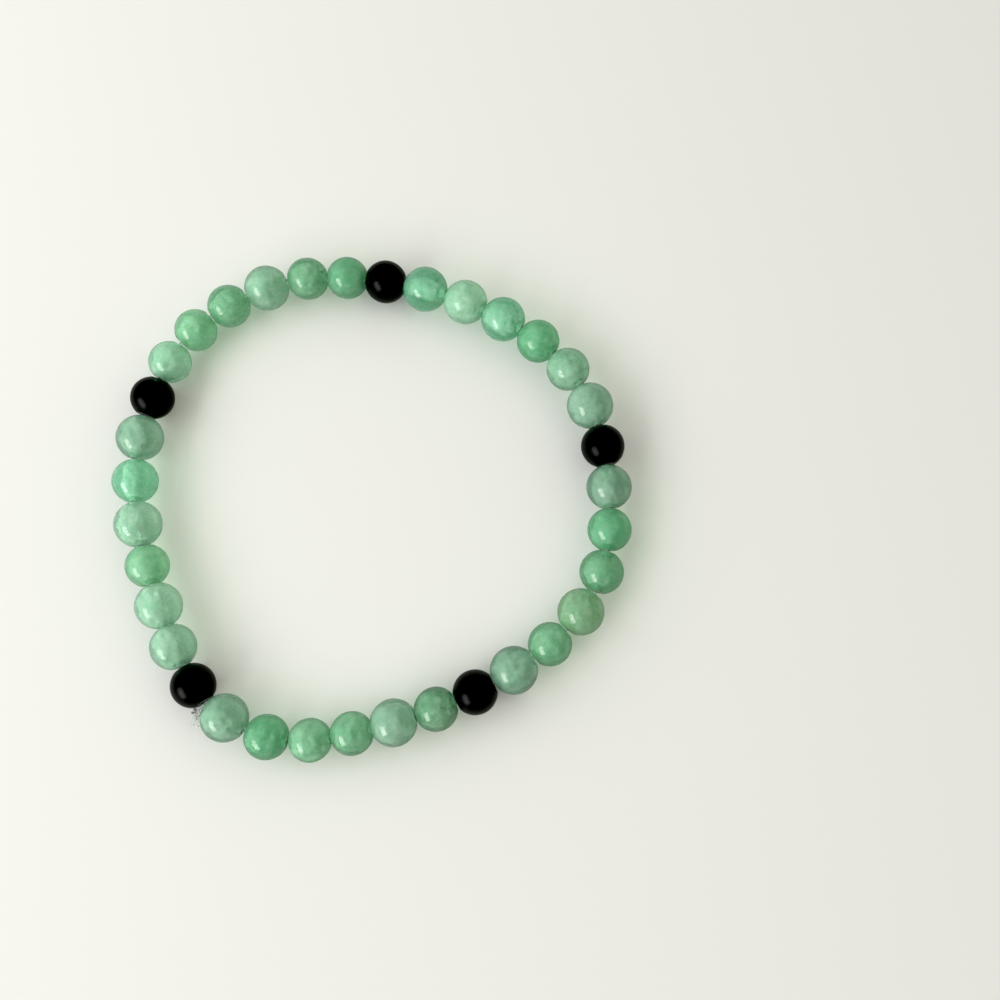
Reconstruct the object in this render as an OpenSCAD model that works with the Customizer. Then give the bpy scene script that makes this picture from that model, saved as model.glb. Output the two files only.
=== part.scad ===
// Gemstone bead bracelet: round drilled stones strung on a clear elastic that is tied in a knot.
// Millimetres. +Z is up, the bracelet lies on z = 0, and the origin is the middle of the ring.

/* [Beads] */
// Diameter of the standard stone bead that the whole row is made of
bead_d = 6.0; // [5:0.5:8]
// Hole drilled through each bead
hole_d = 1.0; // [0.9:0.1:1.2]
// Flat ground round the hole of a polished green bead
green_flat_d = 2.2; // [1.6:0.1:2.6]
// Flat ground round the hole of a matte black bead
black_flat_d = 2.6; // [1.6:0.1:2.8]
// Room between two neighbours where their rims come nearest
rim_gap = 0.05; // [0.03:0.01:0.2]

/* [Elastic] */
// Thickness of the clear elastic on which the beads are strung
elastic_d = 0.6; // [0.4:0.05:0.6]
// Room between the elastic and the knot's two strands
strand_gap = 0.05; // [0.02:0.01:0.1]

/* [Knot] */
// Thickness of the elastic where it isn't stretched, in the knot and its ends
strand_d = 0.55; // [0.4:0.05:0.6]
// Body of the pulled-tight knot
knot_d = 1.0; // [0.8:0.1:1.2]
// How far outside the row's line the knot sits
knot_out = 1.8; // [1.6:0.1:2.2]
// How far below the row's line the knot sits
knot_drop = 0.3; // [0:0.1:0.6]

/* [Hidden] */
$fn = 48;

// The stringing chart, clockwise from the black bead at the far side. Each row is one bead.
TONE = 0;
OVER = 1;
TURN = 2;
BEADS = [
    // tone, diameter over the standard, degrees that the row turns at the joint after the bead
    ["black", -0.1, 6],
    ["emerald", 0.2, 8],
    ["pale", 0.1, 6],
    ["emerald", 0.1, 9],
    ["spring", -0.1, 14],
    ["pale", -0.1, 17],
    ["grey", 0.3, 10],
    ["black", -0.1, 7],
    ["grey", 0.1, 9],
    ["spring", -0.1, 13],
    ["emerald", -0.1, 20],
    ["olive", 0.2, 13],
    ["spring", -0.2, 7],
    ["grey", 0.3, 6],
    ["black", -0.1, 6],
    ["olive", -0.2, 5],
    ["grey", 0.2, 2],
    ["spring", -0.3, 8],
    ["spring", -0.3, 18],
    ["leaf", -0.1, 21],
    ["grey", 0.3, 20],
    ["black", -0.1, 12],
    ["grey", 0.1, 3],
    ["grey", 0.2, 3],
    ["leaf", -0.2, 6],
    ["grey", 0.3, 9],
    ["emerald", 0.1, 12],
    ["grey", 0.3, 9],
    ["black", -0.1, 9],
    ["pale", -0.2, 19],
    ["spring", -0.2, 13],
    ["leaf", -0.1, 10],
    ["pale", 0.2, 15],
    ["leaf", -0.2, 11],
    ["spring", -0.2, 4]
];
// Direction of the first bead's hole, from the +X axis
first_heading = -9;
// The knot is tied at the joint after this row of the chart, counted from 0
KNOT_ROW = 20;

COLOURS = [
    ["elastic", [0.90, 0.93, 0.92]],
    ["black", [0.06, 0.06, 0.06]],
    ["emerald", [0.24, 0.70, 0.45]],
    ["spring", [0.38, 0.74, 0.48]],
    ["leaf", [0.45, 0.75, 0.42]],
    ["olive", [0.47, 0.68, 0.45]],
    ["pale", [0.58, 0.82, 0.64]],
    ["grey", [0.50, 0.70, 0.56]]
];

function shade(name) = [for (c = COLOURS) if (c[0] == name) c[1]][0];

bead_count = len(BEADS);
// One black bead and the green ones that follow it
beads_per_run = 7;

function wrap(i) = (i + bead_count) % bead_count;
function tone(i) = BEADS[i][TONE];
function is_black(i) = tone(i) == "black";
function bead_r(i) = (bead_d + BEADS[i][OVER]) / 2;
function flat_r(i) = (is_black(i) ? black_flat_d : green_flat_d) / 2;
// Half of a bead's length along its hole, from flat to flat
function half_length(i) = sqrt(pow(bead_r(i), 2) - pow(flat_r(i), 2));
// Neighbours touch at the inner rims of their flats, so a sharper turn opens the joint more
function half_opening(i) =
    rim_gap / 2 + max(flat_r(i), flat_r(wrap(i + 1))) * tan(abs(BEADS[i][TURN]) / 2);
function slot_length(i) = half_opening(wrap(i - 1)) + 2 * half_length(i) + half_opening(i);
function along(angle) = [cos(angle), sin(angle)];

// The row as it lies: a closed polygon with a joint between each pair of beads
headings = [
    for (i = 0, h = first_heading; i < bead_count; h = h - BEADS[i][TURN], i = i + 1) h
];
open_row = [
    for (i = 0, p = [0, 0]; i <= bead_count;
         p = p + (i < bead_count ? slot_length(i) * along(headings[i]) : [0, 0]), i = i + 1) p
];
// Whole degrees leave a small closing error, which is spread over the row
closing_error = open_row[bead_count] - open_row[0];
closed_row = [for (i = [0 : bead_count - 1]) open_row[i] - closing_error * i / bead_count];

function chord(i) = closed_row[wrap(i + 1)] - closed_row[i];
function heading(i) = atan2(chord(i).y, chord(i).x);
// Where on its chord a bead's middle lies
function middle_share(i) = (half_opening(wrap(i - 1)) + half_length(i)) / slot_length(i);
open_centres = [for (i = [0 : bead_count - 1]) closed_row[i] + middle_share(i) * chord(i)];

// The origin is the middle of the box round all the beads
low_x = min([for (i = [0 : bead_count - 1]) open_centres[i].x - bead_r(i)]);
high_x = max([for (i = [0 : bead_count - 1]) open_centres[i].x + bead_r(i)]);
low_y = min([for (i = [0 : bead_count - 1]) open_centres[i].y - bead_r(i)]);
high_y = max([for (i = [0 : bead_count - 1]) open_centres[i].y + bead_r(i)]);
row_middle = [(low_x + high_x) / 2, (low_y + high_y) / 2];

// Each bead rests on the surface, and the elastic crosses a joint midway between the two holes
function at_height(p, z) = [p.x - row_middle.x, p.y - row_middle.y, z];
function centre(i) = at_height(open_centres[i], bead_r(i));
function joint_z(i) = (bead_r(wrap(i - 1)) + bead_r(i)) / 2;
function joint_before(i) = at_height(closed_row[i], joint_z(i));
function hole_slope(i) = atan2(joint_z(wrap(i + 1)) - joint_z(i), norm(chord(i)));

function two_digits(n) = str(n < 10 ? "0" : "", n);
function bead_name(i) =
    is_black(i)
    ? str("black_bead_", i / beads_per_run + 1)
    : str("green_bead_", two_digits(i - floor(i / beads_per_run)));

// A ball with a flat ground at each end of its drilled hole. The hole runs along local X.
module drilled_bead(r, half_len) {
    rotate([0, 90, 0])
        rotate_extrude()
        intersection() {
            rotate(180)
                circle(r = r);
            translate([hole_d / 2, -half_len])
                square([r, 2 * half_len]);
        }
}

module bead(i) {
    color(shade(tone(i)))
        translate(centre(i))
        rotate([0, -hole_slope(i), heading(i)])
        drilled_bead(bead_r(i), half_length(i));
}

// The elastic's route: through each joint and through the middle of each bead's hole
SIDES = 8;
elastic_route = [
    for (i = [0 : bead_count - 1])
        each [joint_before(i), centre(i)]
];
ring_count = len(elastic_route);
function route_at(k) = elastic_route[(k + ring_count) % ring_count];
function route_sideways(k) =
    let (v = route_at(k + 1) - route_at(k - 1))
    [v.y, -v.x, 0] / norm([v.x, v.y]);

module elastic() {
    points = [
        for (k = [0 : ring_count - 1], s = [0 : SIDES - 1])
            let (a = 360 * s / SIDES)
            route_at(k) + elastic_d / 2 * (cos(a) * route_sideways(k) + [0, 0, sin(a)])
    ];
    faces = [
        for (k = [0 : ring_count - 1], s = [0 : SIDES - 1])
            let (
                here = k * SIDES,
                next = ((k + 1) % ring_count) * SIDES,
                side = (s + 1) % SIDES
            )
            [here + s, next + s, next + side, here + side]
    ];
    color(shade("elastic"))
        polyhedron(points = points, faces = faces);
}

// A straight round strand from one point to another
module strand(from, to) {
    v = to - from;
    translate(from)
        rotate([0, acos(v.z / norm(v)), atan2(v.y, v.x)])
        cylinder(d = strand_d, h = norm(v));
}

// The knot's last turn is half sunk in its body and leans away from the joint
TURN_LEAN = 60;
turn_r = knot_d / 2 - strand_d / 4;
// The knot's own frame: X runs on along the row, Y points away from the wrist, Z is up
KNOT_TIPS = [
    // along the row, beyond the knot, above the knot
    [-0.7, 1.4, -0.5],
    [-1.2, 1.1, -0.8]
];
module elastic_knot() {
    next = wrap(KNOT_ROW + 1);
    row_heading = (heading(KNOT_ROW) + heading(next)) / 2;
    knot = [0, knot_out, -knot_drop];
    start = elastic_d / 2 + strand_gap;
    color(shade("elastic"))
        translate(joint_before(next))
        rotate([0, 0, row_heading])
        union() {
            // the two ends of the elastic come out of the joint side by side
            strand([0, start, 0], knot);
            translate(knot)
                sphere(d = knot_d);
            translate(knot)
                rotate([TURN_LEAN, 0, 0])
                rotate_extrude()
                translate([turn_r, 0])
                circle(d = strand_d);
            for (tip = KNOT_TIPS)
                strand(knot, knot + tip);
        }
}

for (i = [0 : bead_count - 1])
    bead(i);
elastic();
elastic_knot();
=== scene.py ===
"""Gemstone bead bracelet: polished green and matte black stones on a clear knotted elastic."""

import math

import bmesh
import bpy
from mathutils import Matrix, Quaternion, Vector
from mathutils import noise as hills


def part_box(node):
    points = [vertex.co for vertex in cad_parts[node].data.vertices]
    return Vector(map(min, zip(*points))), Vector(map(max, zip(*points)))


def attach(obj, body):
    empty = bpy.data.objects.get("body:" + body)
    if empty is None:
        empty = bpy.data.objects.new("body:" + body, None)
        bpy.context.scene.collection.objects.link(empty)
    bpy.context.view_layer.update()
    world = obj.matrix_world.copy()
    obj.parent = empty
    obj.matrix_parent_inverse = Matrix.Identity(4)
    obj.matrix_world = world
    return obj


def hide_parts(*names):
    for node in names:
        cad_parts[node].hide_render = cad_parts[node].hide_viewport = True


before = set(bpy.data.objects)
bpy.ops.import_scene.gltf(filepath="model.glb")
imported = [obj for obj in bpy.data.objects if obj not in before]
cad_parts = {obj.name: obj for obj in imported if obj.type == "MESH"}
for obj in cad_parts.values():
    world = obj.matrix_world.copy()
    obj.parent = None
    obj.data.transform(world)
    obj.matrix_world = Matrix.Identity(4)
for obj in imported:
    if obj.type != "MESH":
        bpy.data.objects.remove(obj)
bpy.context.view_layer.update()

# Camera
# A hand camera held above the bracelet, leaning a little towards its near side.
MM = 0.001
FOCAL_PX = 990.6
PHOTO_PX = 1000
SENSOR_MM = 36.0
CAMERA_AT_MM = (20.5, -23.1, 134.1)
CAMERA_LEAN_DEG = (9.9, 1.34, -0.1)
NEAREST_SEEN = 10 * MM

camera_data = bpy.data.cameras.new("camera")
camera_data.sensor_width = SENSOR_MM
camera_data.lens = FOCAL_PX / PHOTO_PX * SENSOR_MM
camera_data.clip_start = NEAREST_SEEN
camera = bpy.data.objects.new("camera", camera_data)
camera.location = Vector(CAMERA_AT_MM) * MM
camera.rotation_euler = [math.radians(angle) for angle in CAMERA_LEAN_DEG]
bpy.context.scene.collection.objects.link(camera)
bpy.context.scene.camera = camera

# Polished green beads
# Balls of cloudy, translucent green quartz, 6 mm across give or take 5 per cent, in five runs of
# six. Each is ground and polished, drilled through with a 1 mm hole, and ground flat round both
# ends of the hole. No two stones have the same shade.

# Each shade's own colour, the milky colour of its clouds, and the share of the light that goes
# straight through its skin
GREENS = {
    "emerald": ((0.25, 0.58, 0.40), (0.56, 0.82, 0.68), 0.65),
    "spring": ((0.205, 0.455, 0.285), (0.425, 0.63, 0.47), 0.60),
    "leaf": ((0.16, 0.42, 0.25), (0.33, 0.555, 0.395), 0.52),
    "olive": ((0.215, 0.39, 0.24), (0.385, 0.52, 0.38), 0.46),
    "pale": ((0.29, 0.515, 0.375), (0.575, 0.77, 0.655), 0.60),
    "grey": ((0.285, 0.475, 0.365), (0.48, 0.645, 0.545), 0.62),
}
# The darker and lighter colour of the hole's wall, which the drill leaves rough, in each shade
WALLS = {
    "emerald": ((0.42, 0.70, 0.53), (0.62, 0.82, 0.69)),
    "spring": ((0.28, 0.54, 0.37), (0.46, 0.68, 0.53)),
    "leaf": ((0.20, 0.49, 0.31), (0.35, 0.61, 0.44)),
    "olive": ((0.27, 0.49, 0.31), (0.41, 0.59, 0.42)),
    "pale": ((0.40, 0.65, 0.49), (0.61, 0.80, 0.69)),
    "grey": ((0.36, 0.58, 0.46), (0.53, 0.71, 0.60)),
}
# Stringing order of the green stones: shade, lightness, clouds and dark strokes at the skin
GREEN_STONES = [
    ("emerald", 0.96, 0.10, 0.00),
    ("pale", 1.10, 0.20, 0.05),
    ("emerald", 0.94, 0.15, 0.00),
    ("leaf", 1.12, 0.12, 0.10),
    ("pale", 0.92, 0.12, 0.00),
    ("grey", 0.90, 0.18, 0.10),
    ("grey", 0.80, 0.15, 0.15),
    ("leaf", 1.03, 0.12, 0.10),
    ("spring", 0.94, 0.12, 0.15),
    ("olive", 1.10, 0.20, 0.50),
    ("spring", 0.99, 0.20, 0.15),
    ("grey", 0.89, 0.20, 0.20),
    ("spring", 0.80, 0.40, 0.90),
    ("grey", 0.96, 0.25, 0.10),
    ("spring", 1.00, 0.20, 0.10),
    ("spring", 1.07, 0.25, 0.05),
    ("leaf", 1.06, 0.15, 0.05),
    ("grey", 0.97, 0.15, 0.30),
    ("grey", 1.13, 0.20, 0.30),
    ("grey", 1.22, 0.25, 0.15),
    ("spring", 1.18, 0.18, 0.10),
    ("grey", 1.21, 0.20, 0.20),
    ("emerald", 1.03, 0.10, 0.00),
    ("grey", 0.99, 0.18, 0.25),
    ("pale", 1.15, 0.10, 0.15),
    ("spring", 1.21, 0.18, 0.05),
    ("spring", 1.08, 0.18, 0.10),
    ("pale", 0.97, 0.20, 0.10),
    ("spring", 0.99, 0.18, 0.10),
    ("leaf", 1.03, 0.20, 0.25),
]
BALL_SEGMENTS = 64
BALL_RINGS = 48
RIM_ROUNDING = 0.08 * MM
HOLE_ROUNDING = 0.06 * MM
# A bead's points nearer its middle than this share of its radius are on the rims of its hole
HOLE_RIM_SHARE = 0.97
# Material places in a bead's mesh
SKIN = 0
HOLE_WALL = 1


def drilled_place(node):
    """A bead's middle, radius, hole direction, half length and hole radius, read from its solid."""
    low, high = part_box(node)
    middle = (low + high) / 2
    radius = (high.z - low.z) / 2
    points = [vertex.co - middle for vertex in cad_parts[node].data.vertices]
    rims = [point for point in points if point.length < HOLE_RIM_SHARE * radius]
    one_rim = [point for point in rims if point.dot(rims[0]) > 0]
    end = sum(one_rim, Vector()) / len(one_rim)
    hole = max((point - end).length for point in one_rim)
    return middle, radius, end.normalized(), end.length, hole


def drilled_ball(segments, rings, radius, half_length, hole):
    """A ball cut flat at both ends and bored through along Z, with its flats' and hole's rims."""
    bm = bmesh.new()
    bmesh.ops.create_uvsphere(bm, u_segments=segments, v_segments=rings, radius=radius)
    shrink = hole / math.sqrt(radius**2 - half_length**2)
    flat_rims, hole_rims = [], []
    for side in (1, -1):
        cut = bmesh.ops.bisect_plane(
            bm,
            geom=bm.verts[:] + bm.edges[:] + bm.faces[:],
            plane_co=(0, 0, side * half_length),
            plane_no=(0, 0, side),
            clear_outer=True,
        )
        rim = [part for part in cut["geom_cut"] if isinstance(part, bmesh.types.BMEdge)]
        flat = bmesh.ops.extrude_edge_only(bm, edges=rim)["geom"]
        ring = {part for part in flat if isinstance(part, bmesh.types.BMVert)}
        bmesh.ops.scale(bm, vec=(shrink, shrink, 1), verts=list(ring))
        edges = [part for part in flat if isinstance(part, bmesh.types.BMEdge)]
        hole_rims += [edge for edge in edges if ring.issuperset(edge.verts)]
        flat_rims += rim
    for face in bmesh.ops.bridge_loops(bm, edges=hole_rims)["faces"]:
        face.material_index = HOLE_WALL
    return bm, flat_rims, hole_rims


def set_in_row(name, bm, middle, direction):
    """Turn a shape made along Z to a bead's hole, put it in the bead's place and finish its mesh."""
    bmesh.ops.recalc_face_normals(bm, faces=bm.faces[:])
    if bm.calc_volume(signed=True) < 0:
        bmesh.ops.reverse_faces(bm, faces=bm.faces[:])
    turn = direction.to_track_quat("Z", "Y").to_matrix().to_4x4()
    bm.transform(Matrix.Translation(middle) @ turn)
    for face in bm.faces:
        face.smooth = True
    mesh = bpy.data.meshes.new(name)
    bm.to_mesh(mesh)
    bm.free()
    piece = bpy.data.objects.new(name, mesh)
    bpy.context.scene.collection.objects.link(piece)
    return piece


def drilled_bead(name, node):
    """The bead's ball, cut flat at both ends and bored, with softened rims."""
    middle, radius, direction, half_length, hole = drilled_place(node)
    bm, flat_rims, hole_rims = drilled_ball(BALL_SEGMENTS, BALL_RINGS, radius, half_length, hole)
    bmesh.ops.bevel(
        bm,
        geom=flat_rims,
        offset=RIM_ROUNDING,
        segments=3,
        profile=0.5,
        affect="EDGES",
        material=-1,
    )
    bmesh.ops.bevel(
        bm,
        geom=[edge for edge in hole_rims if edge.is_valid],
        offset=HOLE_ROUNDING,
        segments=2,
        profile=0.5,
        affect="EDGES",
        material=-1,
    )
    return set_in_row(name, bm, middle, direction)


def node_at(tree, kind, x, y, **settings):
    """A shader node at a place in its tree, with its settings and its unlinked inputs."""
    made = tree.nodes.new(kind)
    made.location = (x, y)
    for key, value in settings.items():
        if key in made.inputs:
            made.inputs[key].default_value = value
        else:
            setattr(made, key, value)
    return made


def group_sockets(tree, inputs, outputs):
    """Give a node group its named inputs and outputs, and return its two end nodes."""
    for name, kind, start in inputs:
        socket = tree.interface.new_socket(name, in_out="INPUT", socket_type=kind)
        if start is not None:
            socket.default_value = start
    for name, kind in outputs:
        tree.interface.new_socket(name, in_out="OUTPUT", socket_type=kind)
    return tree.nodes.new("NodeGroupInput"), tree.nodes.new("NodeGroupOutput")


def maths(tree, operation, a, b=None, c=None, clamp=False):
    made = tree.nodes.new("ShaderNodeMath")
    made.operation = operation
    made.use_clamp = clamp
    for socket, value in zip(made.inputs, (a, b, c)):
        if isinstance(value, (int, float)):
            socket.default_value = value
        elif value is not None:
            tree.links.new(value, socket)
    return made.outputs[0]


def ramp_between(tree, value, low, high):
    """0 below low, 1 above high, and smooth between them."""
    made = tree.nodes.new("ShaderNodeMapRange")
    made.interpolation_type = "SMOOTHSTEP"
    made.inputs["From Min"].default_value = low
    made.inputs["From Max"].default_value = high
    tree.links.new(value, made.inputs["Value"])
    return made.outputs["Result"]


def noise(tree, place, seed, scale, detail=2.0, roughness=0.5, distortion=0.0):
    """Cloudy noise from 0 to 1. The seed is a number or a group's own input."""
    made = tree.nodes.new("ShaderNodeTexNoise")
    made.noise_dimensions = "4D"
    made.inputs["Scale"].default_value = scale
    made.inputs["Detail"].default_value = detail
    made.inputs["Roughness"].default_value = roughness
    made.inputs["Distortion"].default_value = distortion
    tree.links.new(place, made.inputs["Vector"])
    if isinstance(seed, (int, float)):
        made.inputs["W"].default_value = seed
    else:
        tree.links.new(seed, made.inputs["W"])
    return made.outputs["Fac"]


def mix_colours(tree, share, a, b, blend="MIX"):
    made = tree.nodes.new("ShaderNodeMix")
    made.data_type = "RGBA"
    made.blend_type = blend
    sockets = {socket.identifier: socket for socket in made.inputs}
    for key, value in (("Factor_Float", share), ("A_Color", a), ("B_Color", b)):
        if isinstance(value, (int, float, tuple)):
            sockets[key].default_value = value
        else:
            tree.links.new(value, sockets[key])
    return next(socket for socket in made.outputs if socket.identifier == "Result_Color")


# How many of each feature of the stone there are in a millimetre
CLOUDS_A_MM = 0.42
WISPS_A_MM = 1.1
STROKES_A_MM = 1.6
MOTTLE_A_MM = 2.6
DARK_MINERAL = (0.070, 0.230, 0.100, 1.0)


def cloudy_stone_group():
    """Colour of cloudy quartz. Place is in millimetres from the bead's middle, X along the hole."""
    tree = bpy.data.node_groups.new("cloudy_stone", "ShaderNodeTree")
    given, out = group_sockets(
        tree,
        [
            ("Place", "NodeSocketVector", None),
            ("Seed", "NodeSocketFloat", 0.0),
            ("Stone", "NodeSocketColor", (0.1, 0.4, 0.2, 1.0)),
            ("Milk", "NodeSocketColor", (0.3, 0.6, 0.4, 1.0)),
            ("Clouds", "NodeSocketFloat", 0.3),
            ("Strokes", "NodeSocketFloat", 0.0),
        ],
        [("Color", "NodeSocketColor"), ("Polish", "NodeSocketFloat"), ("Height", "NodeSocketFloat")],
    )
    place, seed = given.outputs["Place"], given.outputs["Seed"]
    clouds = noise(tree, place, seed, CLOUDS_A_MM, detail=3.0, roughness=0.55, distortion=0.8)
    clouds = ramp_between(tree, clouds, low=0.42, high=0.62)
    wisps = noise(tree, place, seed, WISPS_A_MM, detail=4.0, roughness=0.6, distortion=0.4)
    wisps = ramp_between(tree, wisps, low=0.40, high=0.75)
    mottle = noise(tree, place, seed, MOTTLE_A_MM, detail=3.0, roughness=0.6)
    grain = ramp_between(tree, mottle, low=0.34, high=0.66)
    veil = maths(tree, "MULTIPLY_ADD", wisps, 0.5, clouds)
    veil = maths(tree, "MULTIPLY", veil, given.outputs["Clouds"])
    veil = maths(tree, "MULTIPLY_ADD", grain, 0.32, veil)
    colour = mix_colours(tree, veil, given.outputs["Stone"], given.outputs["Milk"])

    # short soft strokes of darker mineral
    strokes = noise(tree, place, seed, STROKES_A_MM, detail=4.0, roughness=0.65, distortion=1.5)
    strokes = ramp_between(tree, strokes, low=0.54, high=0.72)
    strokes = maths(tree, "MULTIPLY", strokes, given.outputs["Strokes"])
    colour = mix_colours(tree, strokes, colour, DARK_MINERAL)
    tree.links.new(colour, out.inputs["Color"])
    tree.links.new(maths(tree, "MULTIPLY_ADD", mottle, 0.04, 0.03), out.inputs["Polish"])
    tree.links.new(maths(tree, "MULTIPLY_ADD", mottle, 0.3, wisps), out.inputs["Height"])
    return tree


def in_bead_frame(tree, middle, direction):
    """Object coordinates in millimetres from the bead's middle, with X along its hole."""
    coordinates = node_at(tree, "ShaderNodeTexCoord", -1200, 0)
    mapping = node_at(tree, "ShaderNodeMapping", -1000, 0, vector_type="TEXTURE")
    mapping.inputs["Location"].default_value = middle
    mapping.inputs["Rotation"].default_value = (0, 0, math.atan2(direction.y, direction.x))
    mapping.inputs["Scale"].default_value = (MM, MM, MM)
    tree.links.new(coordinates.outputs["Object"], mapping.inputs["Vector"])
    return mapping.outputs["Vector"]


def lets_light_through(tree, surface, tint):
    """Shadows behind a see-through surface aren't black, but have the tint of what gets through."""
    passed = node_at(tree, "ShaderNodeBsdfTransparent", -150, -700, Color=tint)
    path = node_at(tree, "ShaderNodeLightPath", -150, 400)
    both = node_at(tree, "ShaderNodeMixShader", 200, 0)
    out = node_at(tree, "ShaderNodeOutputMaterial", 400, 0)
    tree.links.new(path.outputs["Is Shadow Ray"], both.inputs["Fac"])
    tree.links.new(surface.outputs[0], both.inputs[1])
    tree.links.new(passed.outputs[0], both.inputs[2])
    tree.links.new(both.outputs[0], out.inputs["Surface"])


CLOUDY_STONE = cloudy_stone_group()
# Keeps one stone's clouds from repeating in the next
SEED_STEP = 3.7
STONE_IOR = 1.54
# How far each colour of light travels in the stone, in millimetres
GREEN_REACH_MM = (1.6, 2.0, 1.7)
# Tint of the light that gets through the stone's skin
GREEN_SHADOW = (0.66, 0.76, 0.66, 1.0)
SKIN_UNEVENNESS = 0.01 * MM


def green_stone(name, number, middle, direction):
    """Polished quartz: part of the light enters its cloudy skin, and the rest goes deeper."""
    shade, lightness, clouds, strokes = GREEN_STONES[number]
    stone, milk, clearness = GREENS[shade]
    material = bpy.data.materials.new(name)
    material.use_nodes = True
    tree = material.node_tree
    tree.nodes.clear()
    group = node_at(tree, "ShaderNodeGroup", -700, 0, node_tree=CLOUDY_STONE)
    group.inputs["Seed"].default_value = SEED_STEP * number
    group.inputs["Stone"].default_value = (*[lightness * part for part in stone], 1.0)
    group.inputs["Milk"].default_value = (*[lightness * part for part in milk], 1.0)
    group.inputs["Clouds"].default_value = clouds
    group.inputs["Strokes"].default_value = strokes
    tree.links.new(in_bead_frame(tree, middle, direction), group.inputs["Place"])
    bump = node_at(tree, "ShaderNodeBump", -400, -300, Strength=0.08, Distance=SKIN_UNEVENNESS)
    tree.links.new(group.outputs["Height"], bump.inputs["Height"])
    surface = node_at(tree, "ShaderNodeBsdfPrincipled", -150, 0, IOR=STONE_IOR)
    surface.inputs["Subsurface Weight"].default_value = 1.0
    surface.inputs["Transmission Weight"].default_value = clearness
    surface.inputs["Subsurface Radius"].default_value = GREEN_REACH_MM
    surface.inputs["Subsurface Scale"].default_value = MM
    surface.inputs["Subsurface Anisotropy"].default_value = 0.8
    tree.links.new(group.outputs["Color"], surface.inputs["Base Color"])
    tree.links.new(group.outputs["Polish"], surface.inputs["Roughness"])
    tree.links.new(bump.outputs["Normal"], surface.inputs["Normal"])
    lets_light_through(tree, surface, GREEN_SHADOW)
    return material


def drilled_wall(shade):
    """The rough wall of the hole, which shows through the clearest stones as a pale band."""
    material = bpy.data.materials.new(f"drilled_{shade}_stone")
    material.use_nodes = True
    tree = material.node_tree
    surface = tree.nodes["Principled BSDF"]
    place = node_at(tree, "ShaderNodeTexCoord", -900, 0).outputs["Object"]
    scratches = noise(tree, place, seed=0.0, scale=3.0 / MM, detail=3.0)
    dull, light = [(*colour, 1.0) for colour in WALLS[shade]]
    tree.links.new(mix_colours(tree, scratches, dull, light), surface.inputs["Base Color"])
    surface.inputs["Roughness"].default_value = 0.8
    return material


DRILLED_WALLS = {shade: drilled_wall(shade) for shade in GREENS}
for number, (shade, _, _, _) in enumerate(GREEN_STONES):
    node = f"green_bead_{number + 1:02d}"
    bead = drilled_bead(f"polished_{node}", node)
    middle, _, direction, _, _ = drilled_place(node)
    skin = green_stone(f"green_stone_{number + 1:02d}", number, middle, direction)
    bead.data.materials.append(skin)
    bead.data.materials.append(DRILLED_WALLS[shade])
    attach(bead, "root")
    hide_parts(node)

# Milky hearts
# The cloud of fine white crystals round the hole inside each green stone. It is part of the same
# quartz, so it lies in the ball and clear of the hole, and its outline is uneven.

# Each heart's share of its bead's size, its length along the hole to its width, and its flecks
HEARTS = [
    (0.30, 2.3, 0.4), (0.56, 1.2, 1.0), (0.42, 1.5, 1.0),
    (0.50, 1.2, 0.2), (0.54, 1.2, 0.2), (0.55, 1.2, 1.0),
    (0.50, 1.4, 0.6), (0.50, 1.2, 0.2), (0.46, 1.2, 0.3),
    (0.52, 1.2, 0.5), (0.50, 1.2, 0.3), (0.52, 1.2, 0.3),
    (0.50, 1.2, 1.0), (0.54, 1.2, 0.5), (0.52, 1.2, 0.5),
    (0.54, 1.2, 0.3), (0.50, 1.2, 0.3), (0.52, 1.2, 0.4),
    (0.54, 1.2, 0.3), (0.55, 1.2, 0.5), (0.50, 1.2, 0.4),
    (0.54, 1.2, 0.6), (0.36, 2.1, 0.8), (0.52, 1.2, 0.5),
    (0.52, 1.2, 0.3), (0.50, 1.2, 0.3), (0.48, 1.2, 0.4),
    (0.54, 1.0, 0.9), (0.50, 1.2, 0.4), (0.50, 1.2, 0.6),
]
HEART_SEGMENTS = 48
HEART_RINGS = 32
# The heart's own hole, its ends, and where its skin starts to be uneven, to the bead's hole
HEART_ROOM = 1.12
HEART_NECK = 1.35
HEART_SMOOTH = 1.3
HEART_UNEVENNESS = 0.18
LUMPS_STEP = 3.1
HEART_GREEN = (0.66, 0.86, 0.72, 1.0)
HEART_WHITE = (1.0, 1.0, 1.0, 1.0)
HAZE_A_MM = 0.5
FLECKS_A_MM = 2.6


def milky_heart(name, node, number):
    """A lumpy ball round the bead's hole, bored a little wider than the hole itself."""
    middle, radius, direction, _, hole = drilled_place(node)
    share, stretch, _ = HEARTS[number]
    size = share * radius
    cut = math.sqrt(size**2 - (HEART_NECK * hole) ** 2)
    bm, _, _ = drilled_ball(HEART_SEGMENTS, HEART_RINGS, size, cut, HEART_ROOM * hole)
    bmesh.ops.scale(bm, vec=(1, 1, stretch), verts=bm.verts[:])
    for vertex in bm.verts:
        if vertex.co.xy.length > HEART_SMOOTH * hole:
            place = vertex.co / MM + Vector((LUMPS_STEP * number, 0, 0))
            lump = hills.fractal(place, 0.8, 2.0, 3)
            vertex.co *= 1 + HEART_UNEVENNESS * lump
    for face in bm.faces:
        face.material_index = SKIN
    return set_in_row(name, bm, middle, direction)


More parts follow.
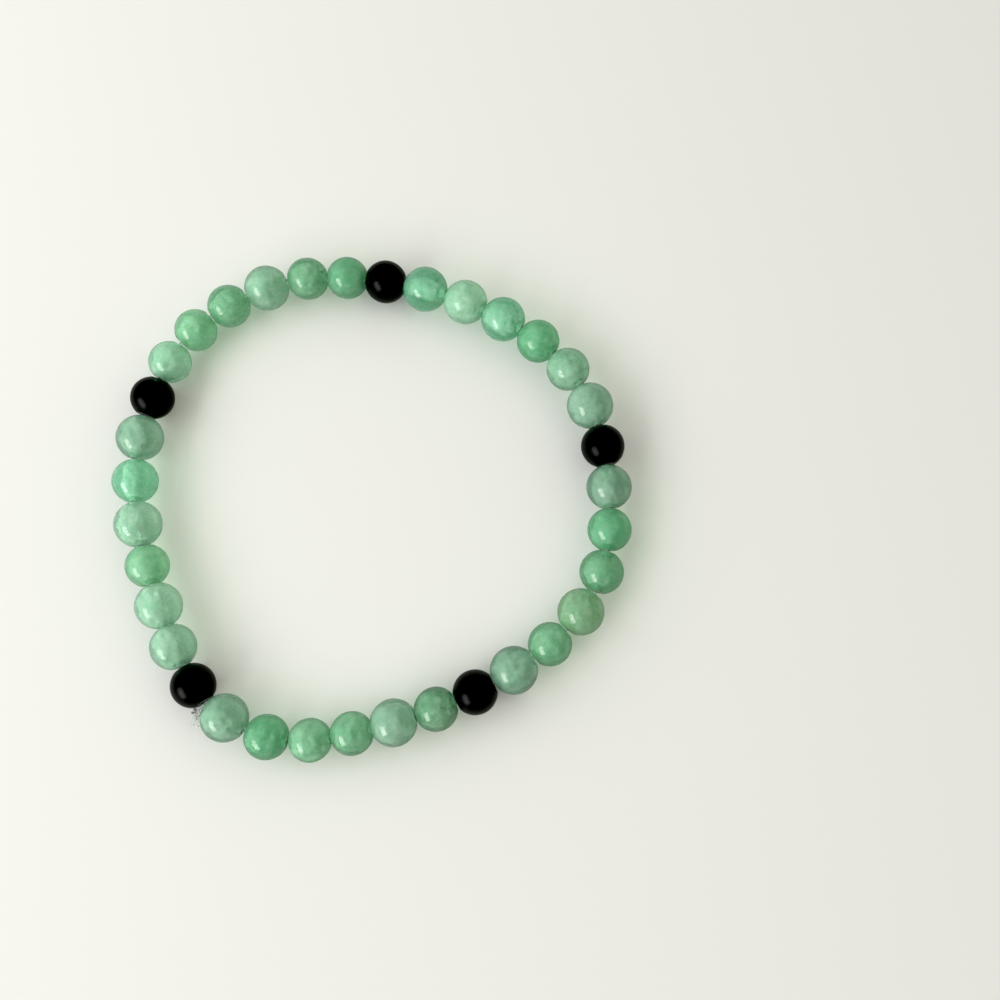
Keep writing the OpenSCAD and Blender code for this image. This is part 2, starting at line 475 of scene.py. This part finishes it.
def heart_crystals(name, number):
    """Milky quartz with whiter flecks."""
    material = bpy.data.materials.new(name)
    material.use_nodes = True
    tree = material.node_tree
    surface = tree.nodes["Principled BSDF"]
    place = node_at(tree, "ShaderNodeTexCoord", -900, 0).outputs["Object"]
    haze = noise(tree, place, number, HAZE_A_MM / MM, detail=2.0)
    haze = ramp_between(tree, haze, low=0.30, high=0.70)
    flecks = noise(tree, place, number, FLECKS_A_MM / MM, detail=4.0, roughness=0.65)
    flecks = ramp_between(tree, flecks, low=0.48, high=0.64)
    white = maths(tree, "MULTIPLY", flecks, HEARTS[number][2])
    white = maths(tree, "MULTIPLY_ADD", haze, 0.5, white, clamp=True)
    tree.links.new(mix_colours(tree, white, HEART_GREEN, HEART_WHITE), surface.inputs["Base Color"])
    surface.inputs["Roughness"].default_value = 0.8
    surface.inputs["Specular IOR Level"].default_value = 0.0
    return material


for number in range(len(HEARTS)):
    node = f"green_bead_{number + 1:02d}"
    heart = milky_heart(f"milky_heart_{number + 1:02d}", node, number)
    heart.data.materials.append(heart_crystals(f"heart_crystals_{number + 1:02d}", number))
    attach(heart, "root")

# Matte black beads
# Balls of black stone, 5.9 mm across, one before each run of green ones. They are drilled the same
# way and then tumbled to a matte, slightly grainy skin instead of a polish.
BLACK_BEADS = 5
BLACKEST = (0.0015, 0.0016, 0.0015, 1.0)
LEAST_BLACK = (0.006, 0.0065, 0.006, 1.0)
GRAIN_A_MM = 9.0
PATCHES_A_MM = 0.8
GRAIN_DEPTH = 0.02 * MM


def black_stone(name, number, middle, direction):
    """Matte black stone, with a fine grain and slightly shinier patches."""
    material = bpy.data.materials.new(name)
    material.use_nodes = True
    tree = material.node_tree
    tree.nodes.clear()
    place = in_bead_frame(tree, middle, direction)
    grain = noise(tree, place, number, GRAIN_A_MM, detail=4.0, roughness=0.65)
    patches = noise(tree, place, number, PATCHES_A_MM, detail=3.0, roughness=0.6)
    bump = node_at(tree, "ShaderNodeBump", -400, -300, Strength=0.25, Distance=GRAIN_DEPTH)
    tree.links.new(grain, bump.inputs["Height"])
    surface = node_at(tree, "ShaderNodeBsdfPrincipled", -150, 0, IOR=STONE_IOR)
    surface.inputs["Specular IOR Level"].default_value = 0.13
    tree.links.new(mix_colours(tree, grain, BLACKEST, LEAST_BLACK), surface.inputs["Base Color"])
    roughness = maths(tree, "MULTIPLY_ADD", patches, 0.06, 0.27)
    tree.links.new(roughness, surface.inputs["Roughness"])
    tree.links.new(bump.outputs["Normal"], surface.inputs["Normal"])
    out = node_at(tree, "ShaderNodeOutputMaterial", 200, 0)
    tree.links.new(surface.outputs[0], out.inputs["Surface"])
    return material


for number in range(BLACK_BEADS):
    node = f"black_bead_{number + 1}"
    bead = drilled_bead(f"matte_{node}", node)
    middle, _, direction, _, _ = drilled_place(node)
    stone = black_stone(f"black_stone_{number + 1}", number, middle, direction)
    # the hole's wall is of the same stone as the skin
    bead.data.materials.append(stone)
    bead.data.materials.append(stone)
    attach(bead, "root")
    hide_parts(node)

# Elastic
# One clear stretch cord, round and 0.6 mm thick as it is pulled through the row. It runs straight
# through each hole and bends in the joint between two beads.
RUN = len(GREEN_STONES) // BLACK_BEADS
STRUNG = [
    name
    for run in range(BLACK_BEADS)
    for name in [f"black_bead_{run + 1}"]
    + [f"green_bead_{RUN * run + place + 1:02d}" for place in range(RUN)]
]
ELASTIC_THICKNESS = 0.6 * MM
ELASTIC_IOR = 1.45
# How far inside a hole's end the elastic starts to bend
BEND_DEPTH = 0.6 * MM
MILKY_CLEAR = (0.80, 0.84, 0.82, 1.0)
WATER_CLEAR = (0.96, 0.97, 0.96, 1.0)
STREAKS_A_MM = 1.2
# Tint of the light that gets through the elastic's skin
ELASTIC_SHADOW = (0.80, 0.81, 0.79, 1.0)


def strands(name, routes, thickness, closed):
    """Round strands along smooth routes, in one mesh."""
    curve = bpy.data.curves.new(name, "CURVE")
    curve.dimensions = "3D"
    curve.bevel_depth = thickness / 2
    curve.bevel_resolution = 6
    curve.resolution_u = 6
    curve.use_fill_caps = not closed
    for route in routes:
        spline = curve.splines.new("BEZIER")
        spline.bezier_points.add(len(route) - 1)
        for bend, point in zip(spline.bezier_points, route):
            bend.co = point
            bend.handle_left_type = "AUTO"
            bend.handle_right_type = "AUTO"
        spline.use_cyclic_u = closed
    drawn = bpy.data.objects.new(name, curve)
    bpy.context.scene.collection.objects.link(drawn)
    evaluated = drawn.evaluated_get(bpy.context.evaluated_depsgraph_get())
    mesh = bpy.data.meshes.new_from_object(evaluated)
    bpy.data.objects.remove(drawn)
    mesh.name = name
    bm = bmesh.new()
    bm.from_mesh(mesh)
    bmesh.ops.remove_doubles(bm, verts=bm.verts[:], dist=thickness / 1000)
    bmesh.ops.recalc_face_normals(bm, faces=bm.faces[:])
    bm.to_mesh(mesh)
    bm.free()
    mesh.materials.clear()
    piece = bpy.data.objects.new(name, mesh)
    bpy.context.scene.collection.objects.link(piece)
    return piece


def clear_elastic():
    """Clear stretch cord, a little milky where it has been pulled, with fine streaks in it."""
    material = bpy.data.materials.new("clear_elastic")
    material.use_nodes = True
    tree = material.node_tree
    tree.nodes.clear()
    place = node_at(tree, "ShaderNodeTexCoord", -900, 0).outputs["Object"]
    streaks = noise(
        tree, place, 0.0, STREAKS_A_MM / MM, detail=3.0, roughness=0.6, distortion=0.5
    )
    colour = mix_colours(tree, streaks, MILKY_CLEAR, WATER_CLEAR)
    surface = node_at(tree, "ShaderNodeBsdfPrincipled", -150, 0, IOR=ELASTIC_IOR)
    tree.links.new(colour, surface.inputs["Base Color"])
    tree.links.new(maths(tree, "MULTIPLY_ADD", streaks, 0.16, 0.04), surface.inputs["Roughness"])
    surface.inputs["Transmission Weight"].default_value = 0.85
    surface.inputs["Subsurface Weight"].default_value = 1.0
    surface.inputs["Subsurface Radius"].default_value = (1.0, 1.0, 1.0)
    surface.inputs["Subsurface Scale"].default_value = ELASTIC_THICKNESS
    lets_light_through(tree, surface, ELASTIC_SHADOW)
    return material


def hole_ends(node, towards):
    """A bead's two hole ends, the one nearer to the given point last."""
    middle, _, direction, half_length, _ = drilled_place(node)
    ends = [middle - half_length * direction, middle + half_length * direction]
    return sorted(ends, key=lambda end: -(end - towards).length)


route = []
for row, node in enumerate(STRUNG):
    following = drilled_place(STRUNG[(row + 1) % len(STRUNG)])[0]
    start, end = hole_ends(node, following)
    inward = (end - start).normalized() * BEND_DEPTH
    route += [start + inward, end - inward]
elastic = strands("strung_elastic", [route], ELASTIC_THICKNESS, closed=True)
CLEAR_ELASTIC = clear_elastic()
elastic.data.materials.append(CLEAR_ELASTIC)
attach(elastic, "root")
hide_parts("elastic")

# Elastic knot
# The elastic's two ends come out of one joint, are knotted beside it and cut short. One end runs
# straight through the knot and the other winds round it.
KNOT_JOINT = ("green_bead_18", "black_bead_4")
STRAND_THICKNESS = 0.42 * MM
# In the joint's own frame, in millimetres: X runs on along the row, Y away from the wrist, Z up
KNOT_MIDDLE = Vector((0.0, 1.8, -0.3))
KNOT_AXIS = Vector((-0.15, 1.0, -0.25)).normalized()
KNOT_HALF_LENGTH = 0.42
KNOT_TURNS = 1.75
WINDING_RADIUS = 0.42
WINDING_START_DEG = -90
POINTS_A_TURN = 8
STRAIGHT_START = [Vector((0.0, 0.36, 0.10)), Vector((0.0, 1.0, 0.0))]
WINDING_START = [Vector((0.0, 0.36, -0.34)), Vector((0.1, 0.9, -0.46))]
STRAIGHT_TAIL = [Vector((-0.35, 2.7, -0.62)), Vector((-0.7, 3.2, -0.8))]
WINDING_TAIL = [Vector((-0.75, 2.5, -0.8)), Vector((-1.2, 2.9, -1.1))]

before = drilled_place(KNOT_JOINT[0])[0]
after = drilled_place(KNOT_JOINT[1])[0]
joint = (hole_ends(KNOT_JOINT[0], after)[1] + hole_ends(KNOT_JOINT[1], before)[1]) / 2
along_row = ((joint - before).normalized() + (after - joint).normalized()).normalized()
away = along_row.cross(Vector((0, 0, -1))).normalized()
if away.dot(joint) < 0:
    away.negate()


def by_joint(point):
    """A point of the joint's own frame in the bracelet's frame."""
    x, y, z = point * MM
    return joint + x * along_row + y * away + Vector((0, 0, z))


first_side = (Vector((1, 0, 0)) - KNOT_AXIS.x * KNOT_AXIS).normalized()
second_side = KNOT_AXIS.cross(first_side)
winding = []
winding_steps = round(KNOT_TURNS * POINTS_A_TURN)
for step in range(winding_steps + 1):
    share = step / winding_steps
    angle = math.radians(WINDING_START_DEG + 360 * KNOT_TURNS * share)
    winding.append(
        KNOT_MIDDLE
        + (2 * share - 1) * KNOT_HALF_LENGTH * KNOT_AXIS
        + WINDING_RADIUS * (math.cos(angle) * first_side + math.sin(angle) * second_side)
    )
straight = [KNOT_MIDDLE + side * KNOT_HALF_LENGTH * KNOT_AXIS for side in (-1, 0, 1)]
knot = strands(
    "knotted_ends",
    [
        [by_joint(point) for point in STRAIGHT_START + straight + STRAIGHT_TAIL],
        [by_joint(point) for point in WINDING_START + winding + WINDING_TAIL],
    ],
    STRAND_THICKNESS,
    closed=False,
)
knot.data.materials.append(CLEAR_ELASTIC)
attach(knot, "root")
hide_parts("elastic_knot")

# Tabletop
# The sheet of white card that the bracelet lies on. It isn't part of the object.
CARD_REACH = 3.0
CARD_WHITE = (0.83, 0.835, 0.815, 1.0)
# The card is painted darker where the stones mirror it, a painted shade in its reflection, so that
# their rims stay clear
CARD_SHADED_IN_REFLECTIONS = (0.44, 0.44, 0.43, 1.0)

bm = bmesh.new()
bmesh.ops.create_grid(bm, x_segments=2, y_segments=2, size=CARD_REACH)
card_mesh = bpy.data.meshes.new("card")
bm.to_mesh(card_mesh)
bm.free()
card = bpy.data.objects.new("card", card_mesh)
bpy.context.scene.collection.objects.link(card)
card_material = bpy.data.materials.new("white_card")
card_material.use_nodes = True
card_tree = card_material.node_tree
card_surface = card_tree.nodes["Principled BSDF"]
# painted shade: for rays the stones mirror, but not for rays through them, the card turns darker
path = node_at(card_tree, "ShaderNodeLightPath", -800, 0)
glossy, through = path.outputs["Is Glossy Ray"], path.outputs["Is Transmission Ray"]
shaded_in_reflections = maths(card_tree, "SUBTRACT", glossy, through, clamp=True)
card_colour = mix_colours(card_tree, shaded_in_reflections, CARD_WHITE, CARD_SHADED_IN_REFLECTIONS)
card_tree.links.new(card_colour, card_surface.inputs["Base Color"])
card_surface.inputs["Roughness"].default_value = 0.9
card_surface.inputs["Specular IOR Level"].default_value = 0.0
card_mesh.materials.append(card_material)

# Window and walls
# A low, wide window with a bar across it stands to the near left, and a bright wall beside it lights
# the card from the left. The rest of the room is dimmer and warmer, and dark overhead.
WINDOW_TOWARDS = Vector((-0.655, -0.565, 0.50)).normalized()
WINDOW_DISTANCE = 1.0
WINDOW_TILT_DEG = -24
WINDOW_WIDTH_DEG = 41
PANE_HEIGHT_DEG = 10
BAR_DEG = 1.5
WINDOW_RADIANCE = 6.8
WINDOW_WHITE = (1.0, 0.99, 0.97)
WALL_AT = Vector((-0.42, 0.08, 0.28))
WALL_SIZE = 0.40
WALL_RADIANCE = 2.9
WALL_WHITE = (0.99, 1.0, 1.0)
# Where the rest of the room is light, as the direction's azimuth and elevation in degrees
ROOM_SIDES = [
    (0, 32, (1.08, 1.04, 0.90, 1.0)),
    (90, 32, (1.02, 1.01, 0.95, 1.0)),
    (215, 32, (0.14, 0.14, 0.14, 1.0)),
]
ROOM_DARK = (0.04, 0.04, 0.038, 1.0)
BACKDROP = (0.78, 0.78, 0.75, 1.0)
# The cosine of the angle from a light side's middle at which its light starts, and is full
SIDE_EDGE = 0.55
SIDE_FULL = 0.97
PICTURE_BLACK = 0.012


def lit_panel(name, place, facing, width, height, radiance, colour):
    """A flat lit rectangle that gives the same radiance all over, with its face towards local -Z."""
    panel = bpy.data.lights.new(name, "AREA")
    panel.shape = "RECTANGLE"
    panel.size = width
    panel.size_y = height
    panel.energy = radiance * math.pi * width * height
    panel.color = colour
    lamp = bpy.data.objects.new(name, panel)
    lamp.rotation_euler = facing.to_euler()
    lamp.location = place
    bpy.context.scene.collection.objects.link(lamp)
    return lamp


pane_width = 2 * WINDOW_DISTANCE * math.tan(math.radians(WINDOW_WIDTH_DEG / 2))
pane_height = WINDOW_DISTANCE * math.radians(PANE_HEIGHT_DEG)
pane_offset = WINDOW_DISTANCE * math.radians(PANE_HEIGHT_DEG + BAR_DEG) / 2
tilt = Quaternion((0, 0, 1), math.radians(WINDOW_TILT_DEG))
facing = WINDOW_TOWARDS.to_track_quat("Z", "Y") @ tilt
for number, side in enumerate((1, -1)):
    place = WINDOW_TOWARDS * WINDOW_DISTANCE + facing @ Vector((0, side * pane_offset, 0))
    lit_panel(
        f"window_pane_{number}",
        place,
        facing,
        pane_width,
        pane_height,
        WINDOW_RADIANCE,
        WINDOW_WHITE,
    )
# the wall is papered and gives no reflection of its own in the polished stones
towards_wall = WALL_AT.to_track_quat("Z", "Y")
wall = lit_panel(
    "bright_wall", WALL_AT, towards_wall, WALL_SIZE, WALL_SIZE, WALL_RADIANCE, WALL_WHITE
)
wall.visible_glossy = False

world = bpy.data.worlds.new("room")
bpy.context.scene.world = world
world.use_nodes = True
room = world.node_tree
towards = room.nodes.new("ShaderNodeTexCoord")
glow = ROOM_DARK
for azimuth_deg, elevation_deg, colour in ROOM_SIDES:
    azimuth, elevation = math.radians(azimuth_deg), math.radians(elevation_deg)
    nearness = room.nodes.new("ShaderNodeVectorMath")
    nearness.operation = "DOT_PRODUCT"
    nearness.inputs[1].default_value = (
        math.cos(elevation) * math.cos(azimuth),
        math.cos(elevation) * math.sin(azimuth),
        math.sin(elevation),
    )
    room.links.new(towards.outputs["Generated"], nearness.inputs[0])
    lit = ramp_between(room, nearness.outputs["Value"], SIDE_EDGE, SIDE_FULL)
    glow = mix_colours(room, lit, glow, colour, blend="ADD")
# behind the card the camera sees a plain pale wall
seen = room.nodes.new("ShaderNodeLightPath")
glow = mix_colours(room, seen.outputs["Is Camera Ray"], glow, BACKDROP)
room.links.new(glow, room.nodes["Background"].inputs["Color"])
# the room's dull walls give no clear reflection either
world.cycles_visibility.glossy = False
display = bpy.context.scene.view_settings
display.view_transform = "Standard"
display.use_curve_mapping = True
display.curve_mapping.black_level = (PICTURE_BLACK, PICTURE_BLACK, PICTURE_BLACK)
